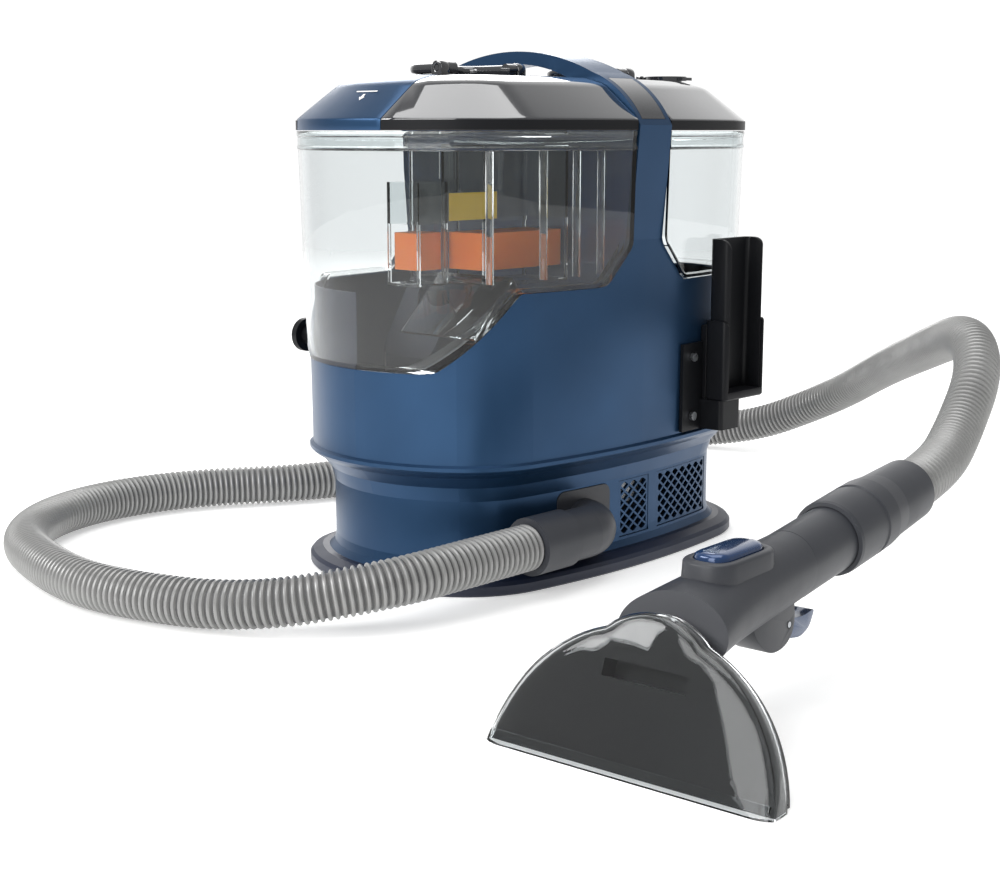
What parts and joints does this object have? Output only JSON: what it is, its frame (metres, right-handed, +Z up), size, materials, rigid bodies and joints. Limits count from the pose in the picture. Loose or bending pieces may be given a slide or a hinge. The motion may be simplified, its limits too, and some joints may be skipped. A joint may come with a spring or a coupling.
{
  "type": "portable carpet cleaner",
  "caption": "Portable spot cleaner with clear lift-out tanks, arched carry grip, waisted motor base, ribbed suction hose and an upholstery hand tool with a clear nozzle.",
  "frame": {"origin": "centre of the base plate's underside, on the floor", "axes": "+X along the machine towards the clean tank, +Y to the back, +Z up"},
  "size_m": [0.7994, 0.7495, 0.3665],
  "materials": {
    "blue_body": "satin metallic blue moulding",
    "seal_rubber": "matt rubber",
    "dark_inner": "dark blue-black moulding",
    "steel": "plated steel",
    "circuit_board": "laminate",
    "grey_moulding": "moulded",
    "charcoal_moulding": "fine moulded texture",
    "black_moulding": "moulded",
    "hose_grey": "ribbed flexible vinyl",
    "smoked_lid": "gloss smoked moulding",
    "clear_tank": "gloss clear moulding",
    "float_orange": "moulded",
    "control_blue": "satin blue moulding"
  },
  "bodies": {
    "machine": {"base_plate": "blue_body", "foot_pads": "seal_rubber", "lower_housing": "blue_body", "vent_grille_small": "blue_body", "vent_grille_large": "blue_body", "tub_shell": "blue_body", "deck": "dark_inner", "spine": "blue_body", "carry_handle": "blue_body", "strap_pad": "smoked_lid", "suction_motor": "steel", "motor_cradle": "dark_inner", "fan_housing": "dark_inner", "air_duct": "dark_inner", "dock_collar": "seal_rubber", "water_pump": "dark_inner", "control_board": "circuit_board", "port_plate": "charcoal_moulding", "hose_elbow": "charcoal_moulding", "hose_sleeve": "charcoal_moulding", "suction_hose": "hose_grey", "holster_cup": "black_moulding", "holster_plate": "black_moulding", "holster_screws": "steel", "cord_posts": "black_moulding", "cord_gland": "seal_rubber", "switch_bezel": "black_moulding", "nozzle_body": "charcoal_moulding", "brush_strip": "black_moulding", "tool_neck": "charcoal_moulding", "button_surround": "charcoal_moulding", "handle_tube": "charcoal_moulding", "trigger_lug": "black_moulding", "trigger_pin": "steel", "spray_jet": "grey_moulding"},
    "fan": {"fan_impeller": "grey_moulding"},
    "switch": {"power_rocker": "black_moulding"},
    "dirty_tank": {"dirty_tank_shell": "clear_tank", "separator_tower": "dark_inner", "riser_duct": "clear_tank", "float_cage": "clear_tank", "side_cage": "clear_tank"},
    "dirty_lid_body": {"dirty_lid": "smoked_lid"},
    "latch": {"latch_panel": "blue_body"},
    "dirty_bail_body": {"dirty_bail": "smoked_lid"},
    "main_float_body": {"main_float": "float_orange"},
    "side_float_body": {"side_float": "float_orange"},
    "clean_tank": {"clean_tank_shell": "clear_tank", "tank_valve": "grey_moulding", "clean_lid": "smoked_lid", "cap_pin": "steel"},
    "cap": {"fill_cap": "smoked_lid"},
    "clean_bail_body": {"clean_bail": "smoked_lid"},
    "trigger": {"spray_trigger": "control_blue"},
    "button": {"release_button": "control_blue"},
    "cover": {"nozzle_cover": "clear_tank", "lip_strip": "clear_tank"},
    "cuff": {"swivel_cuff": "charcoal_moulding"}
  },
  "joints": [
    {"name": "fan_spin", "type": "hinge", "parent": "machine", "child": "fan", "pos_m": [0.072, 0, 0.05], "axis": [0, 0, 1], "continuous": true},
    {"name": "power_rock", "type": "hinge", "parent": "machine", "child": "switch", "pos_m": [0, 0.1122, 0.19], "axis": [1, 0, 0], "range_deg": [-5, 5]},
    {"name": "dirty_tank_lift", "type": "slide", "parent": "machine", "child": "dirty_tank", "axis": [0, 0, 1], "range_m": [0, 0.15]},
    {"name": "dirty_lid_lift", "type": "slide", "parent": "dirty_tank", "child": "dirty_lid_body", "axis": [0, 0, 1], "range_m": [0, 0.05]},
    {"name": "latch_lift", "type": "hinge", "parent": "dirty_lid_body", "child": "latch", "pos_m": [-0.12985, 0, 0.34575], "axis": [0, 1, 0], "range_deg": [0, 30], "stiffness_Nm_per_rad": 0.1, "springref_deg": -5.73},
    {"name": "dirty_bail_fold", "type": "hinge", "parent": "dirty_lid_body", "child": "dirty_bail_body", "pos_m": [-0.073, -0.018, 0.3522], "axis": [1, 0, 0], "range_deg": [0, 95]},
    {"name": "main_float_rise", "type": "slide", "parent": "dirty_tank", "child": "main_float_body", "axis": [0, 0, 1], "range_m": [0, 0.04]},
    {"name": "side_float_rise", "type": "slide", "parent": "dirty_tank", "child": "side_float_body", "axis": [0, 0, 1], "range_m": [0, 0.028]},
    {"name": "clean_tank_lift", "type": "slide", "parent": "machine", "child": "clean_tank", "axis": [0, 0, 1], "range_m": [0, 0.15]},
    {"name": "fill_cap_open", "type": "hinge", "parent": "clean_tank", "child": "cap", "pos_m": [0.118, -0.0175, 0.3494], "axis": [-1, 0, 0], "range_deg": [0, 100]},
    {"name": "clean_bail_fold", "type": "hinge", "parent": "clean_tank", "child": "clean_bail_body", "pos_m": [0.063, -0.018, 0.3522], "axis": [1, 0, 0], "range_deg": [0, 95]},
    {"name": "trigger_pull", "type": "hinge", "parent": "machine", "child": "trigger", "pos_m": [-0.19073, -0.34754, 0.046], "axis": [0.0558, -0.9984, 0], "range_deg": [0, 10], "stiffness_Nm_per_rad": 0.5, "springref_deg": -8.59},
    {"name": "button_press", "type": "slide", "parent": "machine", "child": "button", "axis": [0, 0, -1], "range_m": [0, 0.002], "stiffness_N_per_m": 400, "springref_m": -0.002},
    {"name": "cover_unclip", "type": "slide", "parent": "machine", "child": "cover", "axis": [-0.9382, -0.0525, 0.342], "range_m": [0, 0.03]},
    {"name": "cuff_swivel", "type": "hinge", "parent": "machine", "child": "cuff", "pos_m": [-0.08889, -0.34185, 0.08656], "axis": [0.9903, 0.0554, 0.1274], "continuous": true}
  ]
}
